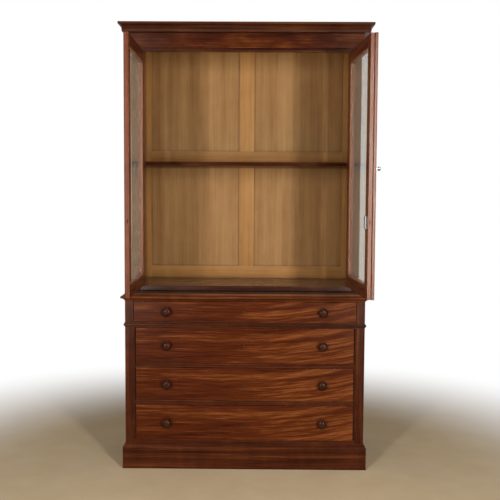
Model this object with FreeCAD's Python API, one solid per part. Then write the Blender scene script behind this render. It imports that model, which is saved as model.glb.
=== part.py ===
import FreeCAD, Part
import math
import os

# A glazed linen press: a chest of four long drawers that carries a shelved case
# with a pair of glazed doors. Millimetres, +Z up, the front faces -Y.
# The origin is on the floor, midway along the chest, in the plane of its front.

# Chest
base_width = 1184.0
base_depth = 460.0
side_thickness = 22.0
back_board_thickness = 12.0
base_stile_width = 41.0
stile_bead_width = 10.0
stile_bead_setback = 4.0
stile_bead_radius = 5.0
base_stile_thickness = 22.0
top_board_thickness = 22.0

# Plinth
plinth_height = 128.0
plinth_projection = 13.0
plinth_thickness = 22.0
plinth_chamfer_height = 19.0
plinth_block_size = 40.0

# Drawers and the rails between them, from the top down
top_rail_height = 25.0
first_drawer_opening = 104.0
bead_rail_height = 28.0
second_drawer_opening = 176.0
upper_divider_height = 24.0
third_drawer_opening = 164.0
lower_divider_height = 24.0
fourth_drawer_opening = 176.0
bottom_rail_height = 16.0
rail_depth = 60.0
rail_setback = 3.0
drawer_front_thickness = 22.0
drawer_front_gap = 1.5
drawer_front_easing = 2.0
drawer_side_thickness = 11.0
drawer_side_drop = 14.0
drawer_bottom_thickness = 7.0
drawer_bottom_rise = 10.0
drawer_running_gap = 0.3
drawer_back_clearance = 12.0
runner_width = 45.0
runner_height = 18.0
guide_height = 16.0
stop_width = 40.0
stop_depth = 14.0
stop_height = 6.0
stop_offset = 170.0
stop_gap = 0.3

# Turned knobs on the drawers
knob_offset = 385.0
knob_diameter = 47.0
knob_collar_diameter = 29.0
knob_throat_diameter = 27.0
knob_crown_diameter = 14.0
knob_projection = 36.0
knob_collar_length = 4.0
knob_throat_reach = 15.0
knob_rim_reach = 25.0
knob_neck_bow = 3.0
knob_belly_bow = 2.0
knob_dome_bow = 3.0
knob_shank_diameter = 14.0
knob_shank_gap = 0.05

# Mouldings on the chest
waist_height = 38.0
waist_projection = 20.0
waist_nose_height = 13.0
waist_shoulder = 13.0
waist_hollow_bow = 2.0
waist_drop = 9.0
astragal_height = 21.0
astragal_projection = 6.5
astragal_fillet = 2.0
astragal_fillet_height = 4.0

# Upper case
overall_height = 2195.0
upper_inset = 25.0
upper_setback = 50.0
upper_stile_width = 40.0
upper_bottom_thickness = 24.0
upper_top_thickness = 20.0
cornice_height = 46.0
cornice_projection = 53.0
cornice_fillet_height = 10.0
cornice_ovolo_height = 21.0
cornice_ovolo_projection = 37.0
cornice_ovolo_bow = 2.5
cornice_hollow_bow = 3.0
cornice_quirk = 1.5
frieze_height = 71.0
frieze_thickness = 10.0
rail_lip_height = 18.0
shelf_thickness = 20.0
shelf_rise = 597.0
shelf_setback = 44.0
shelf_easing = 2.0
shelf_housing_depth = 8.0
shelf_housing_gap = 0.3

# Framed and panelled back of the upper case
back_recess = 10.0
back_frame_thickness = 20.0
back_stile_width = 33.0
back_muntin_width = 81.0
back_top_rail_width = 18.0
back_mid_rail_width = 86.0
back_bottom_rail_width = 66.0
back_panel_thickness = 8.0
back_panel_setback = 7.0
back_groove_depth = 7.0
back_groove_gap = 0.2

# Glazed doors, drawn shut and then swung open as they stand at rest
left_door_angle = 89.4
right_door_angle = 94.0
door_thickness = 22.5
door_stile_width = 62.0
door_top_rail_width = 62.0
door_bottom_rail_width = 64.0
door_end_gap = 4.5
door_meeting_gap = 1.5
door_back_margin = 0.5
door_moulding = 5.0
glass_thickness = 3.0
glass_lip = 9.0
glass_rebate = 8.0
glass_edge_gap = 1.0
cover_strip_width = 24.0
cover_strip_thickness = 10.0
cover_strip_shoulder = 5.0
cover_strip_lap = 9.0
cover_strip_gap = 0.5
cover_strip_side_gap = 1.0
meeting_rebate_depth = 5.0

# Butt hinges
hinge_gap = 1.5
hinge_height = 64.0
hinge_leaf_width = 18.0
hinge_leaf_thickness = 1.8
hinge_knuckle_radius = 4.5
hinge_knuckle_clearance = 0.5
hinge_knuckle_gap = 0.4
hinge_pin_radius = 2.0
hinge_pin_clearance = 0.05
hinge_pin_head_radius = 3.2
hinge_pin_head_height = 2.0
hinge_inset = 150.0

# Flush bolts of the left door
bolt_radius = 3.5
bolt_length = 80.0
bolt_travel = 14.0
bolt_end_inset = 1.0
bolt_clearance = 0.3
bolt_hole_clearance = 1.0
bolt_plate_width = 18.0
bolt_plate_length = 84.0
bolt_plate_inset = 14.0
bolt_plate_thickness = 2.0
bolt_thumb_width = 6.0
bolt_thumb_height = 12.0
bolt_thumb_proud = 4.0

# Lock and knob of the right door
lock_rise = 339.0
lock_edge_inset = 28.0
lock_plate_height = 57.0
lock_plate_thickness = 2.0
lock_plate_proud = 7.5
lock_case_margin = 3.0
lock_case_depth = 9.0
lock_bolt_height = 16.0
lock_bolt_thickness = 5.0
lock_bolt_clearance = 0.3
lock_bolt_end_inset = 0.4
lock_bolt_travel = 8.0
lock_bolt_tail = 10.0
lock_mortise_clearance = 0.8
keyhole_radius = 3.0
door_knob_rise = 571.0
door_knob_diameter = 19.0
door_knob_projection = 20.0
door_knob_neck_diameter = 7.0
door_knob_rose_diameter = 12.0
door_knob_rose_height = 2.0
door_knob_neck_reach = 7.0
door_knob_seat_depth = 1.2
door_knob_dome = 5.0
door_knob_bow = 2.4

# How near an edge must lie to a plane to be picked for rounding
edge_match = 0.01

# Places worked out from the sizes above
X_AXIS = FreeCAD.Vector(1, 0, 0)
Y_AXIS = FreeCAD.Vector(0, 1, 0)
Z_AXIS = FreeCAD.Vector(0, 0, 1)
ORIGIN = FreeCAD.Vector(0, 0, 0)
base_half = base_width / 2
base_inner_half = base_half - side_thickness
wide_opening_half = base_half - base_stile_width
narrow_opening_half = wide_opening_half - stile_bead_width
base_back_y = base_depth - back_board_thickness
bottom_rail_top = plinth_height + bottom_rail_height
lower_divider_z = bottom_rail_top + fourth_drawer_opening
lower_divider_top = lower_divider_z + lower_divider_height
upper_divider_z = lower_divider_top + third_drawer_opening
upper_divider_top = upper_divider_z + upper_divider_height
bead_rail_z = upper_divider_top + second_drawer_opening
bead_rail_top = bead_rail_z + bead_rail_height
top_rail_z = bead_rail_top + first_drawer_opening
top_board_z = top_rail_z + top_rail_height
base_top = top_board_z + top_board_thickness

upper_half = base_half - upper_inset
upper_inner_half = upper_half - side_thickness
door_opening_half = upper_half - upper_stile_width
upper_front = upper_setback
front_frame_thickness = door_thickness + door_back_margin
front_frame_back = upper_front + front_frame_thickness
upper_floor = base_top + upper_bottom_thickness
cornice_z = overall_height - cornice_height
frieze_z = cornice_z - frieze_height
opening_top = frieze_z - rail_lip_height
back_rear_y = base_depth - back_recess
back_front_y = back_rear_y - back_frame_thickness
shelf_z = upper_floor + shelf_rise
shelf_front = front_frame_back + shelf_setback

door_bottom = upper_floor + door_end_gap
door_top = opening_top - door_end_gap
door_hinge_edge = door_opening_half - hinge_gap
door_meeting_edge = door_meeting_gap / 2
door_inner_face = upper_front + door_thickness
hinge_x = door_opening_half - hinge_gap / 2
hinge_y = upper_front - hinge_knuckle_radius - hinge_knuckle_clearance
meeting_stile_middle = door_meeting_edge + door_stile_width / 2
cover_strip_x0 = door_meeting_edge - cover_strip_lap
cover_strip_x1 = cover_strip_x0 + cover_strip_width
cover_strip_crown = upper_front - cover_strip_thickness
bolt_y = upper_front + door_thickness / 2
lock_plate_width = door_stile_width - glass_rebate - lock_edge_inset
glass_front = upper_front + glass_lip
glass_back = glass_front + glass_thickness


def box(x0, x1, y0, y1, z0, z1):
    """A block between two corners."""
    return Part.makeBox(x1 - x0, y1 - y0, z1 - z0, FreeCAD.Vector(x0, y0, z0))


def mirrored(shape):
    """The same piece on the other side of the middle."""
    return shape.mirror(ORIGIN, X_AXIS)


def pair(shape):
    """A right-hand piece and its left-hand twin."""
    return [shape, mirrored(shape)]


def cylinder(radius, height, base, direction):
    """A round bar that starts at base."""
    return Part.makeCylinder(radius, height, base, direction)


def prism(points, height):
    """An upright prism on a plan outline given as (x, y, z) corners."""
    corners = [FreeCAD.Vector(*point) for point in points]
    outline = Part.makePolygon(corners + corners[:1])
    return Part.Face(outline).extrude(Z_AXIS * height)


def profile_wire(steps, place):
    """A closed outline through (p, z) corners.

    A third number bows the edge that leads to its corner, to the left of the way along it.
    """
    edges = []
    here = steps[0]
    for step in list(steps[1:]) + [steps[0][:2]]:
        start, end = place(*here[:2]), place(*step[:2])
        if len(step) == 3:
            across, rise = step[0] - here[0], step[1] - here[1]
            scale = step[2] / math.hypot(across, rise)
            middle = place((here[0] + step[0]) / 2 - rise * scale,
                           (here[1] + step[1]) / 2 + across * scale)
            edges.append(Part.Arc(start, middle, end).toShape())
        else:
            edges.append(Part.LineSegment(start, end).toShape())
        here = step
    return Part.Wire(edges)


def revolved(steps):
    """A turned piece about the Y axis. Steps are (radius, y) corners of its half outline."""
    wire = profile_wire(steps, lambda radius, y: FreeCAD.Vector(radius, y, 0))
    return Part.Face(wire).revolve(ORIGIN, Y_AXIS, 360)


def mitred_run(steps, inner, outer, half, front, rear):
    """A moulding along the front and back along both sides, mitred at the corners.

    The profile's p runs outwards from the faces at +-half and at front, from inner to outer.
    """
    bottom = min(step[1] for step in steps)
    height = max(step[1] for step in steps) - bottom
    reach = half + outer
    front_wire = profile_wire(steps, lambda p, z: FreeCAD.Vector(-reach, front - p, z))
    front_bar = Part.Face(front_wire).extrude(X_AXIS * (2 * reach))
    front_plan = [(-half - outer, front - outer, bottom), (half + outer, front - outer, bottom),
                  (half + inner, front - inner, bottom), (-half - inner, front - inner, bottom)]
    front_piece = front_bar.common(prism(front_plan, height))
    side_wire = profile_wire(steps, lambda p, z: FreeCAD.Vector(half + p, front - outer, z))
    side_bar = Part.Face(side_wire).extrude(Y_AXIS * (rear - front + outer))
    side_plan = [(half + inner, front - inner, bottom), (half + outer, front - outer, bottom),
                 (half + outer, rear, bottom), (half + inner, rear, bottom)]
    side_piece = side_bar.common(prism(side_plan, height))
    return [front_piece] + pair(side_piece)


def save(name, shapes):
    """One file for each node: a single solid, or a group of separate solids."""
    solids = []
    for shape in shapes:
        solids.extend(shape.Solids)
    node = solids[0] if len(solids) == 1 else Part.makeCompound(solids)
    node.exportStep(os.path.join("parts", name + ".step"))


def plinth():
    """The moulded base frame: mitred front and sides, a plain back and glue blocks in the corners."""
    inner = plinth_projection - plinth_thickness
    steps = [
        (inner, 0),
        (plinth_projection, 0),
        (plinth_projection, plinth_height - plinth_chamfer_height),
        (0, plinth_height),
        (inner, plinth_height),
    ]
    front, right, left = mitred_run(steps, inner, plinth_projection, base_half, 0, base_depth)
    inside = base_half + inner
    back_front = base_depth - plinth_thickness
    back = box(-inside, inside, back_front, base_depth, 0, plinth_height)
    blocks = []
    for y in (-inner, back_front - plinth_block_size):
        block = box(inside - plinth_block_size, inside, y, y + plinth_block_size, 0, plinth_height)
        blocks.extend(pair(block))
    save("plinth_front", [front])
    save("plinth_sides", [right, left])
    save("plinth_back", [back])
    save("plinth_blocks", blocks)


def chest_carcase():
    """Sides, front stiles with their slim beads, top and bottom boards and the back."""
    side = box(base_inner_half, base_half, base_stile_thickness, base_depth, plinth_height, top_board_z)
    stile = box(wide_opening_half, base_half, 0, base_stile_thickness, plinth_height, top_board_z)
    bead = box(narrow_opening_half, wide_opening_half, stile_bead_setback, base_stile_thickness,
               bottom_rail_top, bead_rail_z)
    corner = [edge for edge in bead.Edges if abs(edge.CenterOfMass.x - narrow_opening_half) < edge_match
              and abs(edge.CenterOfMass.y - stile_bead_setback) < edge_match]
    bead = bead.makeFillet(stile_bead_radius, corner)
    bottom = box(-base_inner_half, base_inner_half, rail_depth, base_back_y,
                 plinth_height, bottom_rail_top)
    top = box(-base_half, base_half, 0, base_depth, top_board_z, base_top)
    back = box(-base_inner_half, base_inner_half, base_back_y, base_depth, plinth_height, top_board_z)
    save("base_side_right", [side])
    save("base_side_left", [mirrored(side)])
    save("base_stiles", pair(stile) + pair(bead))
    save("base_bottom_board", [bottom])
    save("base_top_board", [top])
    save("base_back", [back])


def drawer_openings():
    """The four drawer openings from the top down: half width, lower edge and height."""
    return [
        (wide_opening_half, bead_rail_top, first_drawer_opening),
        (narrow_opening_half, upper_divider_top, second_drawer_opening),
        (narrow_opening_half, lower_divider_top, third_drawer_opening),
        (narrow_opening_half, bottom_rail_top, fourth_drawer_opening),
    ]


def drawer_framing():
    """Front rails, and the runners, guides and stops that carry the drawers."""
    rails = [
        box(-wide_opening_half, wide_opening_half, 0, rail_depth, top_rail_z, top_board_z),
        box(-wide_opening_half, wide_opening_half, 0, rail_depth, bead_rail_z, bead_rail_top),
        box(-narrow_opening_half, narrow_opening_half, rail_setback, rail_depth,
            upper_divider_z, upper_divider_top),
        box(-narrow_opening_half, narrow_opening_half, rail_setback, rail_depth,
            lower_divider_z, lower_divider_top),
        box(-wide_opening_half, wide_opening_half, rail_setback, rail_depth,
            plinth_height, bottom_rail_top),
    ]
    carriers = []
    stops = []
    for half, low, height in drawer_openings():
        if low > bottom_rail_top:
            runner = box(base_inner_half - runner_width, base_inner_half, rail_depth, base_back_y,
                         low - runner_height, low)
            carriers.extend(pair(runner))
        guide = box(half, base_inner_half, base_stile_thickness, base_back_y, low, low + guide_height)
        carriers.extend(pair(guide))
        stop_front = drawer_front_thickness + stop_gap
        stop = box(stop_offset - stop_width / 2, stop_offset + stop_width / 2,
                   stop_front, stop_front + stop_depth, low, low + stop_height)
        stops.extend(pair(stop))
    save("drawer_rails", rails)
    save("drawer_runners", carriers)
    save("drawer_stops", stops)


def knob(x, z):
    """A turned wooden knob with a collar, a waisted neck and a domed head, on a round shank."""
    collar = knob_collar_diameter / 2
    throat = knob_throat_diameter / 2
    head = knob_diameter / 2
    crown = knob_crown_diameter / 2
    body = revolved([
        (0, 0),
        (collar, 0),
        (collar, -knob_collar_length),
        (throat, -knob_throat_reach, -knob_neck_bow),
        (head, -knob_rim_reach, knob_belly_bow),
        (crown, -knob_projection, knob_dome_bow),
        (0, -knob_projection),
    ])
    shank = cylinder(knob_shank_diameter / 2, drawer_front_thickness, ORIGIN, Y_AXIS)
    body = body.fuse(shank)
    body.translate(FreeCAD.Vector(x, 0, z))
    return body


def drawer(number, half, low, height):
    """A drawer: figured front, box of two sides, back and bottom, and two knobs."""
    front_half = half - drawer_front_gap
    z0 = low + drawer_running_gap
    z1 = low + height - drawer_front_gap
    front = box(-front_half, front_half, 0, drawer_front_thickness, z0, z1)
    face_edges = [edge for edge in front.Edges if abs(edge.BoundBox.YMax) < edge_match]
    front = front.makeFillet(drawer_front_easing, face_edges)
    knob_z = (z0 + z1) / 2
    for side in (-1, 1):
        hole_at = FreeCAD.Vector(side * knob_offset, 0, knob_z)
        front = front.cut(cylinder(knob_shank_diameter / 2 + knob_shank_gap, drawer_front_thickness,
                                   hole_at, Y_AXIS))
    rear = base_back_y - drawer_back_clearance
    side_top = z1 - drawer_side_drop
    bottom_z = z0 + drawer_bottom_rise
    bottom_top = bottom_z + drawer_bottom_thickness
    inside = front_half - drawer_side_thickness
    side = box(inside, front_half, drawer_front_thickness, rear, z0, side_top)
    back = box(-inside, inside, rear - drawer_side_thickness, rear, bottom_top, side_top)
    bottom = box(-inside, inside, drawer_front_thickness, rear, bottom_z, bottom_top)
    name = "drawer_%d" % number
    save(name + "_front", [front])
    save(name + "_box", pair(side) + [back, bottom])
    save(name + "_knobs", [knob(-knob_offset, knob_z), knob(knob_offset, knob_z)])


def chest_mouldings():
    """The waist moulding under the edge of the top, and the slim astragal below the first drawer."""
    z1 = base_top - waist_drop
    z0 = z1 - waist_height
    nose_low = (z0 + z1 - waist_nose_height) / 2
    nose_high = nose_low + waist_nose_height
    nose_bow = waist_projection - waist_shoulder
    waist = [
        (0, z0),
        (waist_shoulder, nose_low, waist_hollow_bow),
        (waist_shoulder, nose_high, -nose_bow),
        (0, z1, waist_hollow_bow),
    ]
    save("waist_moulding", mitred_run(waist, 0, waist_projection, base_half, 0, base_depth))
    low = bead_rail_z + (bead_rail_height - astragal_height) / 2
    high = low + astragal_height
    astragal = [
        (0, low),
        (astragal_fillet, low),
        (astragal_fillet, low + astragal_fillet_height),
        (astragal_fillet, high - astragal_fillet_height, astragal_fillet - astragal_projection),
        (astragal_fillet, high),
        (0, high),
    ]
    save("bead_moulding", mitred_run(astragal, 0, astragal_projection, base_half, 0, base_depth))


def flush_bolt_hole(z, direction):
    """A round hole for a flush bolt, in the rail above or the board below the left door."""
    depth = bolt_travel + bolt_hole_clearance
    at = FreeCAD.Vector(-meeting_stile_middle, bolt_y, z)
    return cylinder(bolt_radius + bolt_hole_clearance, depth, at, Z_AXIS * direction)


def hinge_heights():
    """The middle heights of the three hinges of a door."""
    return [door_bottom + hinge_inset, (door_bottom + door_top) / 2, door_top - hinge_inset]


def upper_carcase():
    """Sides, front frame and boards of the upper case, and the shelf that slides into its sides."""
    side = box(upper_inner_half, upper_half, front_frame_back, base_depth, base_top, cornice_z)
    housing = box(upper_inner_half, upper_inner_half + shelf_housing_depth,
                  shelf_front - shelf_housing_gap, base_depth,
                  shelf_z, shelf_z + shelf_thickness + shelf_housing_gap)
    side = side.cut(housing)
    stile = box(door_opening_half, upper_half, upper_front, front_frame_back, base_top, cornice_z)
    for z in hinge_heights():
        stile = stile.cut(box(door_opening_half, door_opening_half + hinge_leaf_thickness,
                              upper_front, upper_front + hinge_leaf_width,
                              z - hinge_height / 2, z + hinge_height / 2))
    rail = box(-door_opening_half, door_opening_half, upper_front, front_frame_back,
               opening_top, cornice_z)
    rail = rail.cut(flush_bolt_hole(opening_top, 1))
    floor_front = box(-door_opening_half, door_opening_half, upper_front, front_frame_back,
                      base_top, upper_floor)
    floor_back = box(-upper_inner_half, upper_inner_half, front_frame_back, back_front_y,
                     base_top, upper_floor)
    floor = floor_front.fuse(floor_back).removeSplitter()
    floor = floor.cut(flush_bolt_hole(upper_floor, -1))
    top = box(-upper_half, upper_half, upper_front, base_depth,
              cornice_z, cornice_z + upper_top_thickness)
    shelf_half = upper_inner_half + shelf_housing_depth - shelf_housing_gap
    shelf = box(-shelf_half, shelf_half, shelf_front, back_front_y, shelf_z, shelf_z + shelf_thickness)
    nosing = [edge for edge in shelf.Edges if abs(edge.BoundBox.YMax - shelf_front) < edge_match
              and edge.Length > shelf_half]
    shelf = shelf.makeFillet(shelf_easing, nosing)
    save("upper_side_right", [side])
    save("upper_side_left", [mirrored(side)])
    save("upper_front_frame", pair(stile) + [rail])
    save("upper_bottom_board", [floor])
    save("upper_top_board", [top])
    save("shelf", [shelf])


def cornice_and_frieze():
    """The frieze board with its returns, and the moulded cornice above it."""
    frieze = [(0, frieze_z), (frieze_thickness, frieze_z), (frieze_thickness, cornice_z), (0, cornice_z)]
    save("frieze", mitred_run(frieze, 0, frieze_thickness, upper_half, upper_front, base_depth))
    ovolo_top = cornice_z + cornice_ovolo_height
    fillet_z = overall_height - cornice_fillet_height
    throat = cornice_ovolo_projection - cornice_ovolo_bow
    lip = cornice_projection - cornice_quirk
    cornice = [
        (0, cornice_z),
        (throat, cornice_z),
        (throat, ovolo_top, -cornice_ovolo_bow),
        (throat, ovolo_top + cornice_quirk),
        (lip, fillet_z - cornice_quirk, cornice_hollow_bow),
        (lip, fillet_z),
        (cornice_projection, fillet_z),
        (cornice_projection, overall_height),
        (0, overall_height),
    ]
    save("cornice", mitred_run(cornice, 0, cornice_projection, upper_half, upper_front, base_depth))


def panelled_back():
    """Stiles, rails and muntins with grooves, and four thin panels held in the grooves."""
    y0, y1 = back_front_y, back_rear_y
    stile_inner = upper_inner_half - back_stile_width
    muntin_half = back_muntin_width / 2
    bottom_rail_z1 = upper_floor + back_bottom_rail_width
    mid_rail_z1 = shelf_z + back_mid_rail_width
    top_rail_z0 = cornice_z - back_top_rail_width
    frame = pair(box(stile_inner, upper_inner_half, y0, y1, base_top, cornice_z))
    frame.append(box(-stile_inner, stile_inner, y0, y1, base_top, bottom_rail_z1))
    frame.append(box(-stile_inner, stile_inner, y0, y1, shelf_z, mid_rail_z1))
    frame.append(box(-stile_inner, stile_inner, y0, y1, top_rail_z0, cornice_z))
    frame.append(box(-muntin_half, muntin_half, y0, y1, bottom_rail_z1, shelf_z))
    frame.append(box(-muntin_half, muntin_half, y0, y1, mid_rail_z1, top_rail_z0))
    panel_y0 = y0 + back_panel_setback
    panel_y1 = panel_y0 + back_panel_thickness
    panels = []
    for z0, z1 in ((bottom_rail_z1, shelf_z), (mid_rail_z1, top_rail_z0)):
        panel = box(muntin_half - back_groove_depth, stile_inner + back_groove_depth, panel_y0, panel_y1,
                    z0 - back_groove_depth, z1 + back_groove_depth)
        panels.extend(pair(panel))
    for panel in panels:
        space = panel.BoundBox
        gap = back_groove_gap
        groove = box(space.XMin - gap, space.XMax + gap, space.YMin, space.YMax,
                     space.ZMin - gap, space.ZMax + gap)
        frame = [member.cut(groove) for member in frame]
    save("back_frame", frame)
    save("back_panels", panels)


def knuckles(z, fixed):
    """The barrel of one hinge: its end thirds are on the fixed leaf and its middle is on the door leaf."""
    third = hinge_height / 3
    starts = (-hinge_height / 2, third / 2) if fixed else (-third / 2,)
    gap = 0 if fixed else hinge_knuckle_gap
    barrels = []
    for start in starts:
        at = FreeCAD.Vector(hinge_x, hinge_y, z + start + gap)
        barrels.append(cylinder(hinge_knuckle_radius, third - 2 * gap, at, Z_AXIS))
    return barrels


def hinge_leaf(z, fixed):
    """One leaf of a butt hinge of the right door, drawn with the door shut."""
    if fixed:
        x0, x1 = door_opening_half, door_opening_half + hinge_leaf_thickness
    else:
        x0, x1 = door_hinge_edge - hinge_leaf_thickness, door_hinge_edge
    leaf = box(x0, x1, upper_front, upper_front + hinge_leaf_width,
               z - hinge_height / 2, z + hinge_height / 2)
    for barrel in knuckles(z, fixed):
        span = barrel.BoundBox
        web = box(x0, x1, hinge_y, upper_front, span.ZMin, span.ZMax)
        leaf = leaf.fuse(barrel).fuse(web)
    bore = cylinder(hinge_pin_radius + hinge_pin_clearance, hinge_height,
                    FreeCAD.Vector(hinge_x, hinge_y, z - hinge_height / 2), Z_AXIS)
    return leaf.cut(bore).removeSplitter()


def hinge_pin(z):
    """The pin of one hinge, with a flat head at each end."""
    low = FreeCAD.Vector(hinge_x, hinge_y, z - hinge_height / 2)
    high = FreeCAD.Vector(hinge_x, hinge_y, z + hinge_height / 2)
    pin = cylinder(hinge_pin_radius, hinge_height, low, Z_AXIS)
    pin = pin.fuse(cylinder(hinge_pin_head_radius, hinge_pin_head_height, high, Z_AXIS))
    return pin.fuse(cylinder(hinge_pin_head_radius, hinge_pin_head_height, low, -Z_AXIS))


def fixed_hinges():
    """The hinge leaves on the case, and the pins."""
    leaves = []
    pins = []
    for z in hinge_heights():
        leaves.extend(pair(hinge_leaf(z, True)))
        pins.extend(pair(hinge_pin(z)))
    save("hinge_fixed_leaves", leaves)
    save("hinge_pins", pins)


def door_frame():
    """The four members of the right door, its glass and its glazing beads, drawn shut."""
    x0, x1 = door_meeting_edge, door_hinge_edge
    sight_x0, sight_x1 = x0 + door_stile_width, x1 - door_stile_width
    sight_z0, sight_z1 = door_bottom + door_bottom_rail_width, door_top - door_top_rail_width
    y0, y1 = upper_front, door_inner_face
    members = {
        "meeting_stile": [box(x0, sight_x0, y0, y1, door_bottom, door_top)],
        "hanging_stile": [box(sight_x1, x1, y0, y1, door_bottom, door_top)],
        "rails": [box(sight_x0, sight_x1, y0, y1, door_bottom, sight_z0),
                  box(sight_x0, sight_x1, y0, y1, sight_z1, door_top)],
    }
    rebate = box(sight_x0 - glass_rebate, sight_x1 + glass_rebate, glass_front, y1,
                 sight_z0 - glass_rebate, sight_z1 + glass_rebate)
    outer = rectangle(sight_x0 - door_moulding, sight_x1 + door_moulding, y0,
                      sight_z0 - door_moulding, sight_z1 + door_moulding)
    inner = rectangle(sight_x0, sight_x1, y0 + door_moulding, sight_z0, sight_z1)
    splay = Part.makeLoft([outer, inner], True, True)
    for name in members:
        members[name] = [member.cut(rebate).cut(splay) for member in members[name]]
    for z in hinge_heights():
        recess = box(x1 - hinge_leaf_thickness, x1, y0, y0 + hinge_leaf_width,
                     z - hinge_height / 2, z + hinge_height / 2)
        members["hanging_stile"] = [member.cut(recess) for member in members["hanging_stile"]]
    tuck = glass_rebate - glass_edge_gap
    members["glass"] = [box(sight_x0 - tuck, sight_x1 + tuck, glass_front, glass_back,
                            sight_z0 - tuck, sight_z1 + tuck)]
    low, high = sight_z0 - glass_rebate, sight_z1 + glass_rebate
    members["glazing_beads"] = [
        box(sight_x0 - glass_rebate, sight_x0, glass_back, y1, low, high),
        box(sight_x1, sight_x1 + glass_rebate, glass_back, y1, low, high),
        box(sight_x0, sight_x1, glass_back, y1, low, sight_z0),
        box(sight_x0, sight_x1, glass_back, y1, sight_z1, high),
    ]
    members["hinge_leaves"] = [hinge_leaf(z, False) for z in hinge_heights()]
    return members


def rectangle(x0, x1, y, z0, z1):
    """A rectangular outline in an upright plane."""
    corners = [FreeCAD.Vector(x0, y, z0), FreeCAD.Vector(x1, y, z0), FreeCAD.Vector(x1, y, z1),
               FreeCAD.Vector(x0, y, z1)]
    return Part.makePolygon(corners + corners[:1])


def swung(shape, side):
    """A shut door's piece, swung open about its hinge pins. side is 1 on the right and -1 on the left."""
    angle = right_door_angle if side > 0 else -left_door_angle
    turned_shape = shape.copy()
    turned_shape.rotate(FreeCAD.Vector(side * hinge_x, hinge_y, 0), Z_AXIS, angle)
    return turned_shape


def save_door(prefix, side, members):
    """Save every piece of a door where it stands at rest."""
    for name, shapes in members.items():
        save(prefix + name, [swung(shape, side) for shape in shapes])


def flush_bolt(end, direction):
    """A flush bolt of the left door, drawn shut: the bolt, its plate and the room they need in the stile.

    end is the door's edge that the bolt leaves by, and direction is 1 upwards and -1 downwards.
    """
    x = -meeting_stile_middle
    tip = end - direction * bolt_end_inset
    foot = FreeCAD.Vector(x, bolt_y, tip - direction * bolt_length)
    rod = cylinder(bolt_radius, bolt_length, foot, Z_AXIS * direction)
    face = door_inner_face
    half = bolt_thumb_width / 2
    thumb_z = foot.z + direction * bolt_thumb_height
    thumb_low, thumb_high = sorted((thumb_z, thumb_z + direction * bolt_thumb_height))
    thumb = box(x - half, x + half, bolt_y, face + bolt_thumb_proud, thumb_low, thumb_high)
    room_foot = FreeCAD.Vector(x, bolt_y, foot.z - direction * bolt_clearance)
    channel = cylinder(bolt_radius + bolt_clearance, bolt_length + bolt_end_inset + bolt_clearance,
                       room_foot, Z_AXIS * direction)
    slot_low = thumb_low - bolt_clearance - (bolt_travel if direction < 0 else 0)
    slot_high = thumb_high + bolt_clearance + (bolt_travel if direction > 0 else 0)
    slot = box(x - half - bolt_clearance, x + half + bolt_clearance, bolt_y, face, slot_low, slot_high)
    plate_near = end - direction * bolt_plate_inset
    plate_low, plate_high = sorted((plate_near, plate_near - direction * bolt_plate_length))
    plate = box(x - bolt_plate_width / 2, x + bolt_plate_width / 2, face - bolt_plate_thickness, face,
                plate_low, plate_high)
    room = channel.fuse(slot).fuse(plate)
    return rod.fuse(thumb).removeSplitter(), plate.cut(slot), room


def lock_parts():
    """The lock of the right door, drawn shut: its bolt, its case and the room they need in the stile."""
    middle = upper_floor + lock_rise
    face = door_inner_face
    x0 = door_meeting_edge + lock_edge_inset
    x1 = x0 + lock_plate_width
    half = lock_plate_height / 2
    plate = box(x0, x1, face - lock_plate_thickness, face + lock_plate_proud,
                middle - half, middle + half)
    case_back = face - lock_plate_thickness
    case_front = case_back - lock_case_depth
    case = box(x0 + lock_case_margin, x1 - lock_case_margin, case_front, case_back,
               middle - half + lock_case_margin, middle + half - lock_case_margin)
    bolt_middle = (case_front + case_back) / 2
    bolt_x0 = door_meeting_edge + lock_bolt_end_inset
    bolt_x1 = x1 - lock_case_margin - lock_bolt_tail
    bolt_y0, bolt_y1 = bolt_middle - lock_bolt_thickness / 2, bolt_middle + lock_bolt_thickness / 2
    bolt_z0, bolt_z1 = middle - lock_bolt_height / 2, middle + lock_bolt_height / 2
    bolt = box(bolt_x0, bolt_x1, bolt_y0, bolt_y1, bolt_z0, bolt_z1)
    gap = lock_bolt_clearance
    way = box(door_meeting_edge, bolt_x1 + gap, bolt_y0 - gap, bolt_y1 + gap, bolt_z0 - gap, bolt_z1 + gap)
    keyhole = cylinder(keyhole_radius, case_front - upper_front,
                       FreeCAD.Vector((x0 + x1) / 2, upper_front, middle), Y_AXIS)
    body = plate.fuse(case)
    return bolt, body.cut(way).removeSplitter(), body.fuse(way).fuse(keyhole)


def lock_mortise():
    """The mortise in the left door's edge that takes the lock bolt, drawn shut."""
    bolt = lock_parts()[0].BoundBox
    gap = lock_mortise_clearance
    return box(-door_meeting_edge - lock_bolt_travel, -door_meeting_edge,
               bolt.YMin - gap, bolt.YMax + gap, bolt.ZMin - gap, bolt.ZMax + gap)


def meeting_rebate():
    """The step in the front of the left door's meeting stile that takes the cover strip, drawn shut."""
    return box(cover_strip_x0 - cover_strip_side_gap, -door_meeting_edge,
               upper_front, upper_front + meeting_rebate_depth, door_bottom, door_top)


def left_door():
    """The left door, which two flush bolts hold shut at the top and the bottom."""
    members = {name: [mirrored(shape) for shape in shapes] for name, shapes in door_frame().items()}
    top_bolt, top_plate, top_room = flush_bolt(door_top, 1)
    bottom_bolt, bottom_plate, bottom_room = flush_bolt(door_bottom, -1)
    rooms = [top_room, bottom_room, lock_mortise(), meeting_rebate()]
    for room in rooms:
        members["meeting_stile"] = [member.cut(room) for member in members["meeting_stile"]]
    members["bolt_plates"] = [top_plate, bottom_plate]
    save_door("left_door_", -1, members)
    save("top_bolt", [swung(top_bolt, -1)])
    save("bottom_bolt", [swung(bottom_bolt, -1)])


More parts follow.
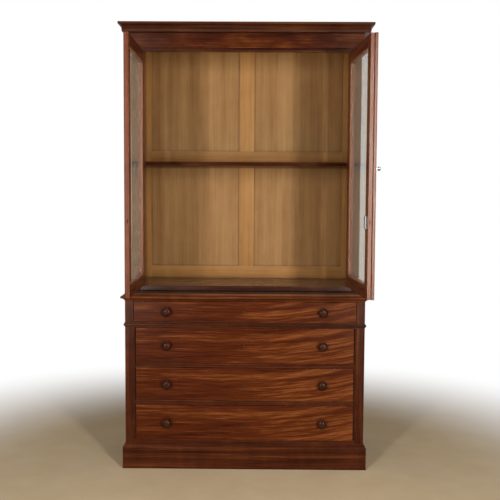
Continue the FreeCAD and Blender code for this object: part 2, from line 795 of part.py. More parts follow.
def cover_strip():
    """The rounded strip on the right door that laps over the left door, drawn shut."""
    lap_back = upper_front + meeting_rebate_depth - cover_strip_gap
    shoulder = upper_front - cover_strip_shoulder
    corners = [
        (cover_strip_x1, upper_front),
        (cover_strip_x1, shoulder),
        (cover_strip_x0, shoulder, shoulder - cover_strip_crown),
        (cover_strip_x0, lap_back),
        (door_meeting_edge, lap_back),
        (door_meeting_edge, upper_front),
    ]
    outline = profile_wire(corners, lambda x, y: FreeCAD.Vector(x, y, door_bottom))
    return Part.Face(outline).extrude(Z_AXIS * (door_top - door_bottom))


def door_knob():
    """The small knob on the crown of the cover strip, drawn shut."""
    rose = door_knob_rose_diameter / 2
    neck = door_knob_neck_diameter / 2
    head = door_knob_diameter / 2
    rim = door_knob_projection - door_knob_dome
    body = revolved([
        (0, 0),
        (rose, 0),
        (rose, -door_knob_rose_height),
        (neck, -door_knob_rose_height),
        (neck, -door_knob_neck_reach),
        (head, -rim, door_knob_bow),
        (neck, -door_knob_projection, door_knob_bow),
        (0, -door_knob_projection),
    ])
    body.translate(FreeCAD.Vector((cover_strip_x0 + cover_strip_x1) / 2,
                                  cover_strip_crown + door_knob_seat_depth, upper_floor + door_knob_rise))
    return body


def right_door():
    """The right door, with the lock, the knob and the strip that covers the meeting of the doors."""
    members = door_frame()
    bolt, lock, room = lock_parts()
    members["meeting_stile"] = [member.cut(room) for member in members["meeting_stile"]]
    members["lock"] = [lock]
    members["knob"] = [door_knob()]
    members["cover_strip"] = [cover_strip().cut(members["knob"][0])]
    save_door("right_door_", 1, members)
    save("lock_bolt", [swung(bolt, 1)])


os.makedirs("parts", exist_ok=True)
plinth()
chest_carcase()
drawer_framing()
for number, (half, low, height) in enumerate(drawer_openings(), 1):
    drawer(number, half, low, height)
chest_mouldings()
upper_carcase()
cornice_and_frieze()
panelled_back()
fixed_hinges()
left_door()
right_door()
print("base height", base_top, "floor of the upper case", upper_floor)
print("door", door_bottom, "to", door_top, "hinge at", hinge_x, hinge_y)
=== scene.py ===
# %% [markdown]
# # A linen press, finished and lit
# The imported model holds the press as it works: a chest of four long drawers, and on it a shelved
# case with two glazed doors, which stand open. This lesson gives each piece its finish, adds the
# small brasswork and sets a plain studio round it. The press could be drawn again in Blender,
# but then the picture and the working parts could drift apart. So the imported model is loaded
# first, and it stays as it is.

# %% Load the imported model
import math

import bmesh
import bpy
from mathutils import Matrix, Vector


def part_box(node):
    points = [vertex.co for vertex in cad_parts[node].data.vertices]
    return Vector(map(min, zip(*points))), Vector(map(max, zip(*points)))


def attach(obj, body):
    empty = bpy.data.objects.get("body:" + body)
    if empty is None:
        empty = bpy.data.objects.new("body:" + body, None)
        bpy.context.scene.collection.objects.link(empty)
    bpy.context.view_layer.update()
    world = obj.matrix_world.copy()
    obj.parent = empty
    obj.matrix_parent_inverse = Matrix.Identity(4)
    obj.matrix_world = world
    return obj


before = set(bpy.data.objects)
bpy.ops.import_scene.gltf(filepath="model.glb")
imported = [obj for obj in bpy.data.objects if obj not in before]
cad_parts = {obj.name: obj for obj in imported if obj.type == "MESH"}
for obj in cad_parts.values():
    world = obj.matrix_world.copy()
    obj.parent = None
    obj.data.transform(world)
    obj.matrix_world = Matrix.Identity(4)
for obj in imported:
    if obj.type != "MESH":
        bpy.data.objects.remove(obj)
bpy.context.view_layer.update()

# %% [markdown]
# ## Small helpers
# Colours are easiest to read as sRGB hex values, but shader sockets hold linear light, so one
# function turns the first into the second. Materials here are networks of nodes, and one function
# adds a node with its settings and its links. More helpers could hide more of the work, but then
# the network of a finish could no longer be read where it is made.

# %% Colour and node helpers
MM = 0.001


def linear(colour):
    """An sRGB hex value as the linear colour that a socket holds."""
    parts = [int(colour[i:i + 2], 16) / 255 for i in (1, 3, 5)]
    return [p / 12.92 if p <= 0.04045 else ((p + 0.055) / 1.055) ** 2.4 for p in parts] + [1.0]


def add(tree, kind, links=None, values=None, stops=None, **settings):
    """Adds a node. links and values are keyed by input, and stops are those of a colour ramp."""
    made = tree.nodes.new("ShaderNode" + kind)
    for name, value in settings.items():
        setattr(made, name, value)
    for socket, value in (values or {}).items():
        made.inputs[socket].default_value = value
    for socket, source in (links or {}).items():
        output = source.outputs[0] if isinstance(source, bpy.types.Node) else source
        tree.links.new(output, made.inputs[socket])
    for i, (place, colour) in enumerate(stops or ()):
        # A new ramp has two stops already.
        ramp = made.color_ramp.elements
        stop = ramp[i] if i < 2 else ramp.new(place)
        stop.position, stop.color = place, linear(colour)
    return made


def blank(name):
    """A new material, and its node tree with nothing in it."""
    material = bpy.data.materials.new(name)
    material.use_nodes = True
    material.node_tree.nodes.clear()
    return material, material.node_tree


def per_metre(*sizes):
    """How many times a pattern of these sizes in millimetres repeats in a metre."""
    return [1 / (size * MM) for size in sizes]


print("white is", [round(v, 3) for v in linear("#ffffff")], "and mid grey", round(linear("#808080")[0], 3))

# %% [markdown]
# ## The camera
# The picture was taken from a little right of the middle, at about eye height, from four metres
# away. A camera could be placed by eye, but a straight-sided piece of furniture shows every
# degree. So the place, the lens and the tilt come from fitting the edges of the press, and only the
# numbers of that fit are used here. The picture is square.

# %% Camera
IMAGE_SIDE = 500
FOCAL_PIXELS = 824.273
SENSOR_WIDTH = 36
CAMERA_PLACE = (0.0619, -4.0302, 1.3881)
CAMERA_ANGLES = (-0.542, 4.164, 0.314)
camera_data = bpy.data.cameras.new("camera")
camera_data.sensor_width = SENSOR_WIDTH
camera_data.lens = FOCAL_PIXELS / IMAGE_SIDE * SENSOR_WIDTH
camera = bpy.data.objects.new("camera", camera_data)
bpy.context.scene.collection.objects.link(camera)
yaw, pitch, roll = (math.radians(angle) for angle in CAMERA_ANGLES)
camera.matrix_world = (Matrix.Translation(CAMERA_PLACE) @ Matrix.Rotation(-yaw, 4, "Z")
                       @ Matrix.Rotation(math.pi / 2 - pitch, 4, "X") @ Matrix.Rotation(roll, 4, "Z"))
bpy.context.scene.camera = camera
bpy.context.scene.view_settings.view_transform = "Standard"
print("lens", round(camera_data.lens, 2), "mm, eye height", CAMERA_PLACE[2], "m")

# %% [markdown]
# ## The studio
# A dark polished piece shows the room it stands in. A plain white world all round would lay a grey veil
# over the mahogany, so the backdrop is white behind the press and falls to a mid grey behind
# the camera. The camera, mirrors and glass all see that same backdrop, while the soft light
# that falls on the press has its own even level.

# %% World
BACKDROP = [(0.15, "#6a6763"), (0.72, "#ffffff")]
AMBIENT_LEVEL = 0.13


def backdrop_along(tree, direction):
    """The backdrop's colour in a direction: grey towards -Y, behind the camera, and white towards +Y."""
    way = add(tree, "SeparateXYZ", {0: direction})
    depth = add(tree, "MapRange", {"Value": way.outputs["Y"]}, {"From Min": -1, "From Max": 1})
    return add(tree, "ValToRGB", {"Fac": depth}, stops=BACKDROP)


def sees_backdrop(tree):
    """1 for the rays that see the backdrop: the camera's own, and those in mirrors and through glass."""
    ray = add(tree, "LightPath")
    bounced = add(tree, "Math", {0: ray.outputs["Is Glossy Ray"], 1: ray.outputs["Is Transmission Ray"]},
                  operation="MAXIMUM")
    return add(tree, "Math", {0: ray.outputs["Is Camera Ray"], 1: bounced}, operation="MAXIMUM")


world = bpy.data.worlds.new("studio")
bpy.context.scene.world = world
world.use_nodes = True
air = world.node_tree
air.nodes.clear()
backdrop = backdrop_along(air, add(air, "TexCoord").outputs["Generated"])
soft_light = add(air, "Background", values={"Color": linear("#fffaf2"), "Strength": AMBIENT_LEVEL})
shown_light = add(air, "Background", {"Color": backdrop}, {"Strength": 1.0})
sky = add(air, "MixShader", {0: sees_backdrop(air), 1: soft_light, 2: shown_light})
add(air, "OutputWorld", {"Surface": sky})
print("even light at", AMBIENT_LEVEL)

# %% [markdown]
# The floor is a pale matt sheet. It could run to a hard horizon, but that line would cross the picture
# behind the press. So it fades into the backdrop a couple of metres out, for the rays that see the backdrop,
# and near the press it stays a real surface that takes the shadow and gives back warm light.

# %% Floor
FLOOR_HALF = 60.0
# The floor fades out between these distances from the origin, in metres.
FADE_START, FADE_END = 1.1, 2.7


def pale_floor():
    """A matt floor sheet with faint clouding, which fades into the backdrop."""
    material, tree = blank("matt_floor_sheet")
    seat = add(tree, "TexCoord").outputs["Object"]
    # Cloudy tone a hand's breadth across, as a rolled matt coating leaves.
    clouds = add(tree, "TexNoise", {"Vector": seat}, {"Scale": per_metre(180)[0], "Detail": 3})
    tone = add(tree, "ValToRGB", {"Fac": clouds}, stops=[(0.3, "#dbc19a"), (0.7, "#e2c9a3")])
    sheet = add(tree, "BsdfPrincipled", {"Base Color": tone}, {"Roughness": 0.85, "Specular IOR Level": 0.2})
    outward = add(tree, "VectorMath", {0: seat}, operation="NORMALIZE")
    glow = add(tree, "Emission", {"Color": backdrop_along(tree, outward)})
    reach = add(tree, "VectorMath", {0: seat}, operation="LENGTH").outputs["Value"]
    fade = add(tree, "MapRange", {"Value": reach}, {"From Min": FADE_START, "From Max": FADE_END},
               interpolation_type="SMOOTHSTEP")
    share = add(tree, "Math", {0: fade, 1: sees_backdrop(tree)}, operation="MULTIPLY")
    surface = add(tree, "MixShader", {0: share, 1: sheet, 2: glow})
    add(tree, "OutputMaterial", {"Surface": surface})
    return material


floor_mesh = bpy.data.meshes.new("floor")
floor_corners = [(x * FLOOR_HALF, y * FLOOR_HALF, 0) for x, y in ((-1, -1), (1, -1), (1, 1), (-1, 1))]
floor_mesh.from_pydata(floor_corners, [], [(0, 1, 2, 3)])
floor = bpy.data.objects.new("floor", floor_mesh)
bpy.context.scene.collection.objects.link(floor)
floor.data.materials.append(pale_floor())
print("floor", 2 * FLOOR_HALF, "m across")

# %% [markdown]
# Two tall soft lamps stand in front, a good step to each side of the camera. They light the middle of the
# inside past the open doors, and the front edges of the doors mirror them, as in the picture. A wide
# lamp overhead opens up the ledge and the mouldings. One hard lamp would show the shapes too, but with
# black shadows inside the case.

# %% Lamps
def soft_lamp(name, place, aim, width, height, watts):
    """An area lamp at place that faces aim. Places and sizes are in metres."""
    data = bpy.data.lights.new(name, "AREA")
    data.shape = "RECTANGLE"
    data.size, data.size_y, data.energy = width, height, watts
    lamp = bpy.data.objects.new(name, data)
    bpy.context.scene.collection.objects.link(lamp)
    lamp.location = place
    lamp.visible_camera = False
    lamp.rotation_euler = (Vector(aim) - Vector(place)).to_track_quat("-Z", "Y").to_euler()
    return lamp


case_middle = (0, 0.2, 1.3)
ledge_middle = (0, 0.2, 0.9)
lamps = [
    soft_lamp("left_lamp", (-1.6, -4.3, 1.5), case_middle, width=0.3, height=2.4, watts=98),
    soft_lamp("right_lamp", (1.7, -4.3, 1.5), case_middle, width=0.3, height=2.4, watts=134),
    soft_lamp("overhead_lamp", (0, -1.2, 4.2), ledge_middle, width=2.4, height=2.0, watts=24),
]
print([(lamp.name, lamp.data.energy) for lamp in lamps])

# %% [markdown]
# ## Timber
# The press is joined from three woods: mahogany outside, oak for the back and the drawer boxes, and pine
# where nothing is meant to show. A flat image of a plank could be wrapped on each piece, but its grain
# would stop at every edge. A solid pattern runs through the wood as it does in a real board, so each
# piece only has to say which way its grain lies. In a frame, that differs from member to member.

# %% Which way the grain lies
LIES = {"level": "XZY", "upright": "ZXY", "deep": "YZX"}
TWO_LIES = {"mitred": ("level", "deep"), "boxed": ("level", "deep"), "framed": ("level", "upright"),
            "panelled": ("level", "upright")}


def along_grain(tree, lie, edge, rails, turned):
    """Coordinates with X along the grain, Y across it and Z into the board.

    mitred turns a corner where |x| + y passes edge, and the other joined lies change where |x| passes it.
    panelled is level only on its rails, which are given as (middle height, half height).
    """
    place = add(tree, "TexCoord").outputs["Object"]
    if turned:
        place = add(tree, "VectorRotate", {"Vector": place}, {"Angle": turned}, rotation_type="Z_AXIS")
    axes = add(tree, "SeparateXYZ", {0: place})
    first, second = TWO_LIES.get(lie, (lie, lie))
    boards = {name: add(tree, "CombineXYZ", {i: axes.outputs[axis] for i, axis in enumerate(LIES[name])})
              for name in sorted({first, second})}
    if lie in LIES:
        return boards[lie]
    reach = add(tree, "Math", {0: axes.outputs["X"]}, operation="ABSOLUTE")
    if lie == "mitred":
        reach = add(tree, "Math", {0: reach, 1: axes.outputs["Y"]}, operation="ADD")
    change = add(tree, "Math", {0: reach}, {1: edge}, operation="GREATER_THAN")
    if lie == "panelled":
        on_rails = [add(tree, "Math", {0: axes.outputs["Z"]}, {1: middle, 2: half}, operation="COMPARE")
                    for middle, half in rails]
        on_rail = on_rails[0]
        for other in on_rails[1:]:
            on_rail = add(tree, "Math", {0: on_rail, 1: other}, operation="MAXIMUM")
        off_rails = add(tree, "Math", {1: on_rail}, {0: 1.0}, operation="SUBTRACT")
        change = add(tree, "Math", {0: change, 1: off_rails}, operation="MAXIMUM")
    mixed = add(tree, "Mix", {0: change, 4: boards[first], 5: boards[second]}, data_type="VECTOR")
    return mixed.outputs[1]


print("single lies", sorted(LIES), "and joined ones", sorted(TWO_LIES))

# %% [markdown]
# Every wood here is built up in the same order. Broad bands of growth wander along the board, fine lines run
# with them, short pores lie in the lines, and a faint mottle crosses them. A wave texture could draw the
# bands, but its stripes are too even for a board, so each layer is a noise that is stretched along the
# grain. In figured veneer the lines also climb towards one end of the board, and get paler there.

# %% Figure of a board
CLIMB_START = -0.05


def figure(tree, wood, grain, sweep):
    """The layers of a board, with sizes in millimetres, and its tone from dark to pale."""
    # The bands wander across the board by the amount in wander, over the lengths in wander_size.
    stretched = add(tree, "VectorMath", {0: grain}, {1: per_metre(*wood["wander_size"])},
                    operation="MULTIPLY")
    slow = add(tree, "TexNoise", {"Vector": stretched}, {"Scale": 1, "Detail": 2})
    wander = wood["wander"] * MM
    drift = add(tree, "Math", {0: slow}, {1: wander, 2: -wander / 2}, operation="MULTIPLY_ADD")
    if sweep:
        along = add(tree, "SeparateXYZ", {0: grain})
        climb = add(tree, "Math", {0: along.outputs["X"]}, {1: CLIMB_START}, operation="SUBTRACT")
        climb = add(tree, "Math", {0: climb}, {1: 0.0}, operation="MAXIMUM")
        climb = add(tree, "Math", {0: climb}, {1: 2.0}, operation="POWER")
        drift = add(tree, "Math", {0: climb, 2: drift}, {1: -sweep}, operation="MULTIPLY_ADD")
    bent = add(tree, "VectorMath", {0: grain, 1: add(tree, "CombineXYZ", {1: drift})}, operation="ADD")
    layers = {}
    for layer in ("band", "line", "pore", "mottle"):
        size = add(tree, "VectorMath", {0: bent}, {1: per_metre(*wood[layer])}, operation="MULTIPLY")
        layers[layer] = add(tree, "TexNoise", {"Vector": size}, {"Scale": 1, "Detail": 3, "Roughness": 0.55})
    tone = add(tree, "Math", {0: layers["line"]}, {1: wood["line_share"]}, operation="MULTIPLY")
    tone = add(tree, "Math", {0: layers["mottle"], 2: tone}, {1: wood["mottle_share"]},
               operation="MULTIPLY_ADD")
    band_share = 1 - wood["line_share"] - wood["mottle_share"]
    tone = add(tree, "Math", {0: layers["band"], 2: tone}, {1: band_share}, operation="MULTIPLY_ADD")
    if sweep:
        tone = add(tree, "Math", {0: climb, 2: tone}, {1: wood["paler_end"]}, operation="MULTIPLY_ADD")
    return layers, tone


print("lines of figured veneer climb from", CLIMB_START, "m")

# %% [markdown]
# Over the figure come wear and painted light. Corners that hands and dusters have rubbed are a little
# rounded and paler, and the paler colour is also a painted highlight for the light that rounded arrises
# catch. They could be cut in the mesh, but the imported shapes have to stay, so the bevel node finds them.
# Where two pieces meet, the ambient occlusion node finds the quirks and corners and darkens them as painted
# shade, where old polish also gathers. Last comes the polish, a little rougher on some lines of the grain
# than on others.

# %% Timber builder
TONE_STOPS = (0.36, 0.46, 0.53, 0.64)
PLAIN_FACING = 0.9
PORE_NOISE = {"From Min": 0.56, "From Max": 0.66}
PORE_DROP = -0.7
ARRIS_RADIUS = 2 * MM
# Cosines of the turn from the flat, where rubbing starts and where it is full.
ARRIS_TURN = {"From Min": 0.99, "From Max": 0.80}
# Painted shade: within this reach, ambient occlusion darkens quirks and corners towards a near-black colour.
PAINTED_SHADE_REACH = 12 * MM
PAINTED_SHADE_RANGE = {"From Min": 0.92, "From Max": 0.45}
PAINTED_SHADE_COLOUR = "#140903"
GRAIN_DEPTH = 0.4 * MM
POLISH_IOR = 1.5


def timber(name, wood, lie, edge=0.0, rails=(), turned=0.0, plank=(0, 0, 0), sweep=0.0, plain_side=None):
    """A wood finish. plank shifts the pattern so that boards differ.

    sweep makes the lines climb towards one end, and faces that look along plain_side get the plain tones of
    the wood in place of the polished ones.
    """
    material, tree = blank(name)
    grain = along_grain(tree, lie, edge, rails, turned)
    grain = add(tree, "VectorMath", {0: grain}, {1: plank}, operation="ADD")
    layers, tone = figure(tree, wood, grain, sweep)
    colour = add(tree, "ValToRGB", {"Fac": tone}, stops=zip(TONE_STOPS, wood["tones"]))
    if plain_side:
        plain = add(tree, "ValToRGB", {"Fac": tone}, stops=zip(TONE_STOPS, wood["plain"]))
        look = add(tree, "VectorMath", {0: add(tree, "TexCoord").outputs["Normal"]}, {1: plain_side},
                   operation="DOT_PRODUCT").outputs["Value"]
        faces_it = add(tree, "Math", {0: look}, {1: PLAIN_FACING}, operation="GREATER_THAN")
        colour = add(tree, "Mix", {0: faces_it, 6: colour, 7: plain}, data_type="RGBA").outputs[2]
    pores = add(tree, "MapRange", {"Value": layers["pore"]}, PORE_NOISE)
    pore_share = add(tree, "Math", {0: pores}, {1: wood["pore_depth"]}, operation="MULTIPLY")
    pored = add(tree, "Mix", {0: pore_share, 6: colour}, {7: linear(wood["tones"][0])}, data_type="RGBA")
    # Rubbed arrises, where the rounded surface turns away from the flat one. They are worn paler, and the
    # paler colour is also a painted highlight where rounded edges catch the light.
    arris = add(tree, "Bevel", values={"Radius": ARRIS_RADIUS}, samples=4)
    flat = add(tree, "NewGeometry").outputs["True Normal"]
    turn = add(tree, "VectorMath", {0: arris, 1: flat}, operation="DOT_PRODUCT").outputs["Value"]
    rubbed_and_highlit = add(tree, "MapRange", {"Value": turn}, ARRIS_TURN)
    rubbed_and_highlit = add(tree, "Math", {0: rubbed_and_highlit, 1: layers["mottle"]}, operation="MULTIPLY")
    worn_and_highlit = add(tree, "Mix", {0: rubbed_and_highlit, 6: pored.outputs[2]}, {7: linear(wood["worn_and_highlit"])}, data_type="RGBA")
    # Painted shade in the quirks and corners, where shade falls and old polish also gathers.
    open_air = add(tree, "AmbientOcclusion", values={"Distance": PAINTED_SHADE_REACH}, samples=6).outputs["AO"]
    painted_shade = add(tree, "MapRange", {"Value": open_air}, PAINTED_SHADE_RANGE | {"To Max": wood["painted_shade"]})
    corner_shaded = add(tree, "Mix", {0: painted_shade, 6: worn_and_highlit.outputs[2]}, {7: linear(PAINTED_SHADE_COLOUR)}, data_type="RGBA")
    height = add(tree, "Math", {0: pores, 2: layers["line"]}, {1: PORE_DROP}, operation="MULTIPLY_ADD")
    relief = add(tree, "Bump", {"Height": height, "Normal": arris},
                 {"Strength": wood["relief"], "Distance": GRAIN_DEPTH})
    gloss = add(tree, "MapRange", {"Value": layers["line"]},
                {"From Min": 0.3, "From Max": 0.7, "To Min": wood["gloss"][0], "To Max": wood["gloss"][1]})
    surface = add(tree, "BsdfPrincipled",
                  {"Base Color": corner_shaded.outputs[2], "Roughness": gloss, "Normal": relief},
                  {"IOR": POLISH_IOR, "Specular IOR Level": wood["shine"],
                   "Specular Tint": linear(wood["film"])})
    add(tree, "OutputMaterial", {"Surface": surface})
    return material


print("arrises", ARRIS_RADIUS / MM, "mm round, grime within", PAINTED_SHADE_REACH / MM, "mm")

# %% [markdown]
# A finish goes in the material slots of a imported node, so that the shapes and the names of the model stay.
# The pieces could be told apart by eye in the end, but there are many of them and some are hidden. So the
# names of those that have a finish are kept, and a piece without one shows up as missing.

# %% Dressing a node
dressed = set()


def dress(material, *nodes):
    """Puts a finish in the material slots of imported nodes."""
    for name in nodes:
        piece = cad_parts[name]
        for slot in piece.material_slots:
            slot.material = material
        if not piece.material_slots:
            piece.data.materials.append(material)
        dressed.add(name)


print(len(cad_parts), "nodes to dress")

# %% [markdown]
# ### Mahogany
# The case is Cuban mahogany, dark with age, planed, stained and French polished with shellac. The eye gets a
# deep red-brown with darker stripes a finger wide, and a soft sheen from the thin film of shellac.
# Pores are about 0.2 mm wide, too fine for this picture, so they are drawn about 1.5 mm wide. One
# finish for the whole case would be simpler, but light, dust and hands have changed each part of it in
# its own way, so the same wood is made in several tones.

# %% Mahogany of the carcase
FRONT_STILE_EDGE = 0.527
MAHOGANY = {
    "tones": ("#250c05", "#3d190a", "#49200e", "#603315"), "worn_and_highlit": "#8a4f2c",
    "band": (900, 22, 26), "line": (260, 3.5, 5), "pore": (24, 1.5, 1.5), "mottle": (60, 160, 110),
    "wander_size": (800, 140, 110), "wander": 16, "line_share": 0.34, "mottle_share": 0.16,
    "pore_depth": 0.45, "relief": 0.10, "gloss": (0.20, 0.30), "shine": 0.12, "film": "#fff4ea",
    "painted_shade": 0.5,
}
dress(timber("mahogany_upright", MAHOGANY, "upright"),
      "base_side_left", "base_side_right", "base_stiles")
dress(timber("mahogany_level", MAHOGANY, "level", plank=(0.3, 0.1, 0.4)),
      "drawer_rails", "plinth_front")
dress(timber("mahogany_deep", MAHOGANY, "deep", plank=(0.7, 0.2, 0.1)), "plinth_sides")
dress(timber("mahogany_front_frame", MAHOGANY, "framed", edge=FRONT_STILE_EDGE, plank=(1.1, 0.3, 0.2)),
      "upper_front_frame")
# The sides of the upper case are polished outside and bare inside, and the pale inner tones are also
# painted light, for the light that falls on the inner faces.
CASE_SIDES_BARE_AND_LIT_INSIDE = dict(MAHOGANY, plain=("#7d4c2c", "#935c37", "#a06840", "#b07a52"), painted_shade=0.2)
for side, inward in (("left", 1), ("right", -1)):
    dress(timber("mahogany_case_" + side, CASE_SIDES_BARE_AND_LIT_INSIDE, "upright", plank=(0.2, 0.3, 0.5),
                 plain_side=(inward, 0, 0)), "upper_side_" + side)
# The shelf was never polished as well as the outside, and its edge is darker.
SHELF_MAHOGANY = dict(MAHOGANY, tones=("#1f0903", "#341305", "#3e1907", "#52290d"), shine=0.06)
dress(timber("mahogany_shelf", SHELF_MAHOGANY, "level", plank=(1.7, 0.5, 0.9)), "shelf")
# The ledge is dull, and its tones are darker than the rest of the case.
DULL_MAHOGANY = dict(MAHOGANY, tones=("#160a05", "#25140c", "#2e1a10", "#3f2b1a"), gloss=(0.36, 0.48),
                     shine=0.08)
dress(timber("mahogany_ledge", DULL_MAHOGANY, "level", plank=(0.3, 0.1, 0.4)), "base_top_board")
# The floor of the case has kept its polish behind the doors, so it mirrors the back, and dust greys its top.
CASE_FLOOR = dict(MAHOGANY, plain=("#472c1e", "#654232", "#724c3a", "#8c6650"), shine=0.24)
dress(timber("mahogany_case_floor", CASE_FLOOR, "level", plank=(0.6, 0.4, 0.3), plain_side=(0, 0, 1)),
      "upper_bottom_board")
print(len(dressed), "nodes in mahogany")

# %% [markdown]
# The mouldings run along the front and turn round the corners of the case. One straight grain would be
# simpler, but on the sides it would run out of the wood, where a joiner cuts a mitre. So the grain turns
# at the mitres too. Each moulding is cut from another board, further along the pattern.

# %% Mahogany of the mouldings
# A moulding turns from front to side where |x| + y passes the corner of its case.
UPPER_HALF_WIDTH, UPPER_FRONT = 0.567, 0.050
UPPER_CORNER = UPPER_HALF_WIDTH + UPPER_FRONT
BASE_CORNER = 0.592
BOARD_STEP = 0.9
# The cornice is out of reach of hands and dusters, so it is dull and its edges are not rubbed.
HIGH_MAHOGANY = dict(MAHOGANY, tones=("#210a03", "#371506", "#421b09", "#573012"), worn_and_highlit="#3c1c0b",
                     gloss=(0.42, 0.55), shine=0.13)
# The frieze is veneered, with broad dark and light patches.
VENEERED_MAHOGANY = dict(MAHOGANY, tones=("#200903", "#3c1506", "#4b1f09", "#6b3a15"),
                         mottle=(130, 60, 60), mottle_share=0.42)
# The waist is just where hands rest, so its polish is rubbed down to a paler tone.
HANDLED_MAHOGANY = dict(MAHOGANY, tones=("#391809", "#532811", "#623216", "#7e4d2b"), worn_and_highlit="#9a5c36",
                        painted_shade=0.15)
# The bead lies in the shade of the waist, and its darker tones are painted shade.
SHADE_PAINTED_BEAD_MAHOGANY = dict(MAHOGANY, tones=("#1f0a04", "#351507", "#3f1b0a", "#532b10"))
mouldings = {"cornice": (HIGH_MAHOGANY, UPPER_CORNER), "frieze": (VENEERED_MAHOGANY, UPPER_CORNER),
             "waist_moulding": (HANDLED_MAHOGANY, BASE_CORNER),
             "bead_moulding": (SHADE_PAINTED_BEAD_MAHOGANY, BASE_CORNER)}
for number, (node, (wood, corner)) in enumerate(mouldings.items()):
    dress(timber("mahogany_" + node, wood, "mitred", edge=corner,
                 plank=(number * BOARD_STEP, 0.2, 0.6)), node)
print(len(dressed), "nodes so far")

# %% [markdown]
# The door frames are of the same wood, but a redder board. One finish for a whole door would lay the grain
# across some of its pieces, so stiles, rails and beads each have their own. The doors stand open, so the
# pattern of the rails is turned back by the angle that each door has swung through. The glazing beads
# inside are of paler wood, never stained as deep, and their pale tones are also a painted sheen for the
# glint on them, so they draw a light line round the glass.

# %% Mahogany of the doors
opened = {"left": math.radians(89.4), "right": math.radians(-94.0)}
DOOR_MAHOGANY = dict(MAHOGANY, tones=("#2e0d04", "#4d1c0b", "#5d2812", "#7a3f20"), worn_and_highlit="#a06a4c",
                     gloss=(0.24, 0.36), shine=0.40, film="#ffdcc8", painted_shade=0.3)
# The pale tones of the glazing beads are paler wood and also a painted sheen.
GLAZING_BEAD_PALE_SHEEN_MAHOGANY = dict(DOOR_MAHOGANY, tones=("#6f4230", "#8b5942", "#996853", "#ac7d68"), worn_and_highlit="#bd917a",
                     painted_shade=0.1)
# The right door opens first, so hands have kept its edge the shinier.
handled_shine = {"left": 0.26, "right": 0.42}
for side, angle in opened.items():
    stiles = [side + "_door_hanging_stile", side + "_door_meeting_stile"]
    if side == "right":
        stiles.append("right_door_cover_strip")
    # The angle also makes the boards of the two doors differ.
    dress(timber("mahogany_" + side + "_stiles", dict(DOOR_MAHOGANY, shine=handled_shine[side]), "upright",
                 plank=(0.4, angle, 0)), *stiles)
    dress(timber("mahogany_" + side + "_rails", DOOR_MAHOGANY, "level", turned=angle, plank=(0.8, 0.3, 0)),
          side + "_door_rails")
    dress(timber("mahogany_" + side + "_beads", GLAZING_BEAD_PALE_SHEEN_MAHOGANY, "upright", plank=(0.1, 0.6, 0.3)),
          side + "_door_glazing_beads")
print(len(dressed), "nodes so far")

# %% [markdown]
# ### Figured drawer fronts
# The drawers are faced with one flitch of figured mahogany, cut so that the same figure returns in each. The
# eye gets long bright streaks that climb to the right, and a warmer red. Each front could have its own
# random board, but the real ones follow each other, so one pattern is used for all, centred on
# each drawer and cut a few millimetres deeper each time.

# %% Figured mahogany
DRAWERS = range(1, 5)
FIGURE_SWEEP = 0.17
VENEER_STEP = 4 * MM
FIGURED = dict(MAHOGANY, tones=("#301005", "#481b07", "#54240a", "#7e4620"), worn_and_highlit="#8f5632", paler_end=0.11,
               band=(700, 34, 26), line=(160, 3.2, 6), wander=22, wander_size=(620, 110, 60),
               line_share=0.20, mottle_share=0.34, mottle=(120, 7, 40))
for number in DRAWERS:
    low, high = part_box("drawer_%d_front" % number)
    middle = (low.z + high.z) / 2
    veneer = timber("figured_mahogany_%d" % number, FIGURED, "level",
                    plank=(0, -middle, VENEER_STEP * number), sweep=FIGURE_SWEEP)
    dress(veneer, "drawer_%d_front" % number)
print("figure centred on", len(DRAWERS), "drawers")

# %% [markdown]
# ### Turned knobs
# The knobs were turned on a lathe from darker, close-grained mahogany. Its end grain faces out, and many
# hands have left it nearly black with a waxy shine. A plain dark brown would do from the front of the room,
# but up close end grain shows as fine specks, so the knobs get the same layers on a smaller scale.

# %% Turned mahogany
TURNED = dict(MAHOGANY, tones=("#1c0a04", "#2d1207", "#3a1a0a", "#4b260f"), worn_and_highlit="#5a3016",
              band=(60, 6, 6), line=(40, 2, 2), wander=6, wander_size=(80, 30, 30), shine=0.18)
dress(timber("turned_mahogany", TURNED, "deep"), *["drawer_%d_knobs" % number for number in DRAWERS])
print(len(dressed), "nodes so far")

# %% [markdown]
# ### Oak
# The framed back and the drawer boxes are of straight oak, planed and left with a thin coat of wax. The eye
# gets a golden brown with close upright lines and next to no gloss. The pores of oak are long open
# strokes about 0.3 mm wide, drawn here about 1.2 mm wide so that they show. A plain brown would do behind
# shut doors, but here they stand open and the back fills the picture. Its frame is a little warmer than
# its panels. Where the rails of the frame lie has to be given, because it is all one node.

# %% Oak
OAK = {
    "tones": ("#7f5a30", "#91683b", "#997143", "#a47c4c"), "worn_and_highlit": "#b8966a",
    "band": (1100, 45, 50), "line": (300, 2.5, 4), "pore": (30, 1.2, 1.5), "mottle": (90, 60, 70),
    "wander_size": (900, 110, 110), "wander": 12, "line_share": 0.34, "mottle_share": 0.16,
    "pore_depth": 0.25, "relief": 0.18, "gloss": (0.44, 0.58), "shine": 0.25, "film": "#fff0dc",
    "painted_shade": 0.45,
}
OAK_FRAME = dict(OAK, tones=("#87592a", "#996a36", "#a2733f", "#ad7f48"))
